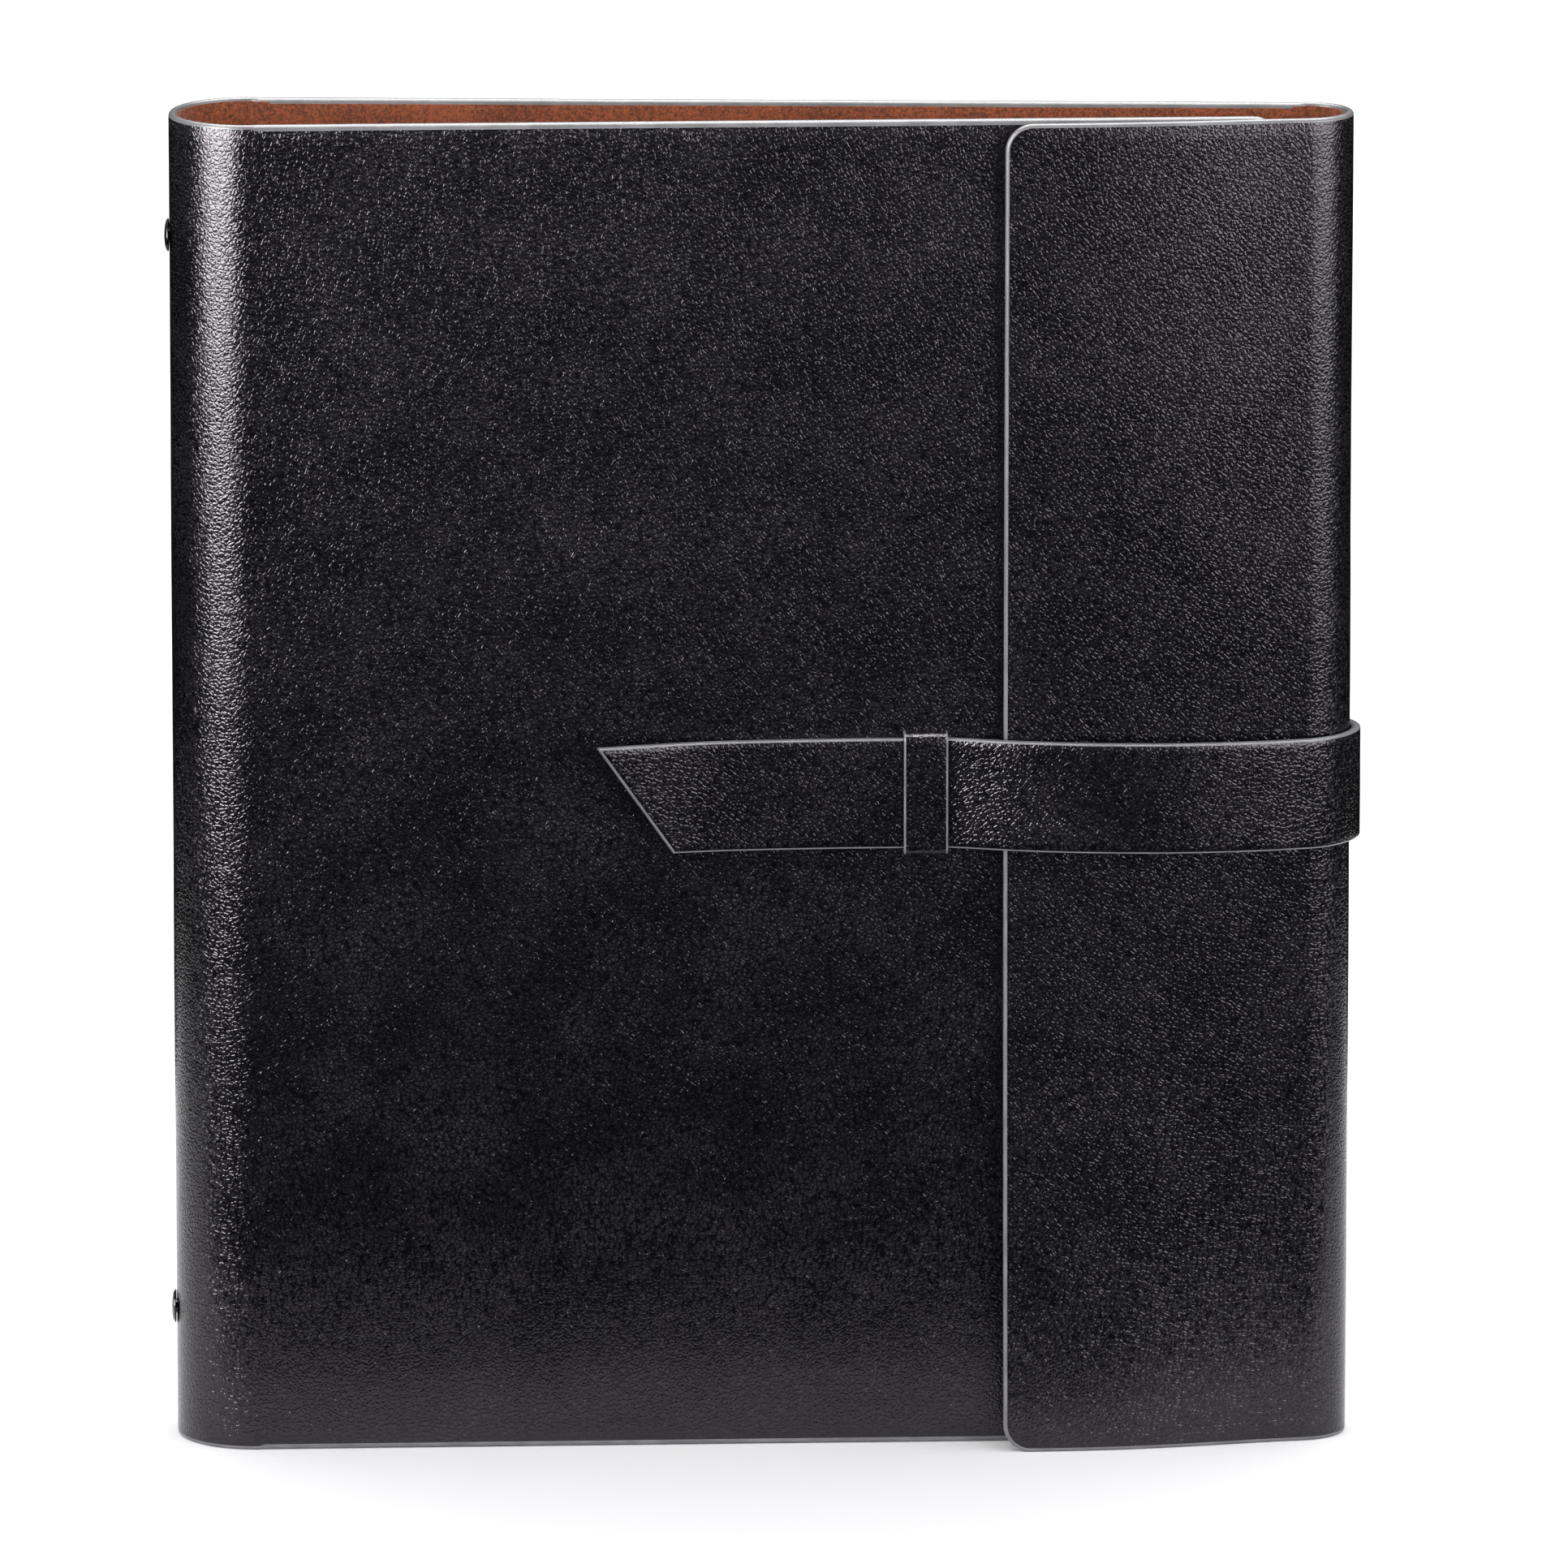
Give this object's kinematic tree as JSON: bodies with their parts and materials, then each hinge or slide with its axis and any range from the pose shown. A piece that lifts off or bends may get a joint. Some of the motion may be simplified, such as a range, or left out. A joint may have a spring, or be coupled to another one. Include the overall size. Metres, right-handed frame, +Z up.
{
  "type": "ring binder cover",
  "caption": "Strapped leather ring-binder cover with a rounded spine, a closing flap and a suede lining, standing closed.",
  "frame": {"origin": "bottom centre of the bounding box, on the surface that the closed cover stands on", "axes": "+X from the spine to the fore edge, -Y out of the front panel, +Z up the spine"},
  "size_m": [0.2573, 0.0358, 0.292],
  "materials": {
    "leather": "glazed black leather with a fine pebble grain and painted edges",
    "suede": "brown suede with a matt nap",
    "board": "grey stiffening board",
    "steel": "bright nickel plate",
    "rivet": "dark polished nickel"
  },
  "bodies": {
    "back": {"board_back": "board", "leather_back": "leather", "lining_back": "suede", "strap_tail": "leather"},
    "spine_1": {"leather_spine_1": "leather", "lining_spine_1": "suede"},
    "spine_2": {"leather_spine_2": "leather", "lining_spine_2": "suede"},
    "spine_3": {"leather_spine_3": "leather", "lining_spine_3": "suede", "ring_plate": "steel", "rivet_lower": "rivet", "rivet_upper": "rivet"},
    "spine_4": {"leather_spine_4": "leather", "lining_spine_4": "suede"},
    "spine_5": {"leather_spine_5": "leather", "lining_spine_5": "suede"},
    "front": {"board_front": "board", "keeper": "leather", "leather_front": "leather", "lining_front": "suede"},
    "rings_front": {"blade_front": "steel", "half_ring_front_1": "steel", "half_ring_front_2": "steel", "half_ring_front_3": "steel"},
    "rings_back": {"blade_back": "steel", "half_ring_back_1": "steel", "half_ring_back_2": "steel", "half_ring_back_3": "steel"},
    "lower_lever": {"lever_lower": "steel"},
    "upper_lever": {"lever_upper": "steel"},
    "fore_edge_1": {"leather_fore_edge_1": "leather", "lining_fore_edge_1": "suede", "strap_bend_1": "leather"},
    "fore_edge_2": {"leather_fore_edge_2": "leather", "lining_fore_edge_2": "suede", "strap_bend_2": "leather"},
    "fore_edge_3": {"leather_fore_edge_3": "leather", "lining_fore_edge_3": "suede", "strap_bend_3": "leather"},
    "flap": {"leather_flap": "leather", "lining_flap": "suede"},
    "strap_root_link": {"strap_root": "leather"},
    "strap_middle_link": {"strap_middle": "leather"},
    "strap_end": {"strap_tip": "leather"}
  },
  "joints": [
    {"name": "front_open", "type": "hinge", "parent": "back", "child": "spine_1", "pos_m": [-0.10948, 0.01699, 0], "axis": [0, 0, -1], "range_deg": [0, 30.68], "deforming": ["leather_flap", "lining_flap", "strap_root", "strap_middle", "strap_tip", "keeper"]},
    {"name": "spine_bend_2", "type": "hinge", "parent": "spine_1", "child": "spine_2", "pos_m": [-0.11976, 0.01392, 0], "axis": [0, 0, -1], "range_deg": [0, 30.68]},
    {"name": "spine_bend_3", "type": "hinge", "parent": "spine_2", "child": "spine_3", "pos_m": [-0.12615, 0.00529, 0], "axis": [0, 0, -1], "range_deg": [0, 30.68]},
    {"name": "spine_bend_4", "type": "hinge", "parent": "spine_3", "child": "spine_4", "pos_m": [-0.12611, -0.00544, 0], "axis": [0, 0, -1], "range_deg": [0, 30.68]},
    {"name": "spine_bend_5", "type": "hinge", "parent": "spine_4", "child": "spine_5", "pos_m": [-0.11964, -0.01401, 0], "axis": [0, 0, -1], "range_deg": [0, 30.68]},
    {"name": "spine_bend_6", "type": "hinge", "parent": "spine_5", "child": "front", "pos_m": [-0.10932, -0.01699, 0], "axis": [0, 0, -1], "range_deg": [0, 30.68]},
    {"name": "flap_open", "type": "hinge", "parent": "back", "child": "fore_edge_1", "pos_m": [0.11731, 0.01, 0], "axis": [0, 0, 1], "range_deg": [0, 43.99]},
    {"name": "fore_edge_bend_2", "type": "hinge", "parent": "fore_edge_1", "child": "fore_edge_2", "pos_m": [0.1257, 0.00494, 0], "axis": [0, 0, 1], "range_deg": [0, 43.99]},
    {"name": "fore_edge_bend_3", "type": "hinge", "parent": "fore_edge_2", "child": "fore_edge_3", "pos_m": [0.12574, -0.00486, 0], "axis": [0, 0, 1], "range_deg": [0, 43.99]},
    {"name": "fore_edge_bend_4", "type": "hinge", "parent": "fore_edge_3", "child": "flap", "pos_m": [0.1174, -0.00999, 0], "axis": [0, 0, 1], "range_deg": [0, 43.99]},
    {"name": "strap_lift", "type": "hinge", "parent": "flap", "child": "strap_root_link", "pos_m": [0.11661, -0.01032, 0.1449], "axis": [0, 0, 1], "range_deg": [0, 81]},
    {"name": "strap_fold", "type": "hinge", "parent": "strap_root_link", "child": "strap_middle_link", "pos_m": [0.07869, -0.01686, 0.1449], "axis": [0, 0, 1], "range_deg": [-162, 0]},
    {"name": "strap_end_turn", "type": "hinge", "parent": "strap_middle_link", "child": "strap_end", "pos_m": [0.04037, -0.01337, 0.1449], "axis": [0, 0, 1], "range_deg": [0, 81]},
    {"name": "ring_open", "type": "hinge", "parent": "spine_3", "child": "rings_front", "pos_m": [-0.12235, -0.0072, 0.146], "axis": [0, 0, -1], "range_deg": [0, 12]},
    {"name": "ring_open_back", "type": "hinge", "parent": "spine_3", "child": "rings_back", "pos_m": [-0.12235, 0.0072, 0.146], "axis": [0, 0, 1], "range_deg": [0, 12]},
    {"name": "lever_lower_turn", "type": "hinge", "parent": "spine_3", "child": "lower_lever", "pos_m": [-0.12205, 0, 0.0162], "axis": [0, 1, 0], "range_deg": [0, 20]},
    {"name": "lever_upper_turn", "type": "hinge", "parent": "spine_3", "child": "upper_lever", "pos_m": [-0.12205, 0, 0.2758], "axis": [0, -1, 0], "range_deg": [0, 20]}
  ],
  "couplings": [
    {"joint": "spine_bend_2", "follows": "front_open", "ratio": 1},
    {"joint": "spine_bend_3", "follows": "front_open", "ratio": 1},
    {"joint": "spine_bend_4", "follows": "front_open", "ratio": 1},
    {"joint": "spine_bend_5", "follows": "front_open", "ratio": 1},
    {"joint": "spine_bend_6", "follows": "front_open", "ratio": 1},
    {"joint": "fore_edge_bend_2", "follows": "flap_open", "ratio": 1},
    {"joint": "fore_edge_bend_3", "follows": "flap_open", "ratio": 1},
    {"joint": "fore_edge_bend_4", "follows": "flap_open", "ratio": 1},
    {"joint": "strap_fold", "follows": "strap_lift", "ratio": -2},
    {"joint": "strap_end_turn", "follows": "strap_lift", "ratio": 1},
    {"joint": "ring_open_back", "follows": "ring_open", "ratio": 1},
    {"joint": "lever_lower_turn", "follows": "ring_open", "ratio": 1.66},
    {"joint": "lever_upper_turn", "follows": "ring_open", "ratio": 1.66}
  ]
}
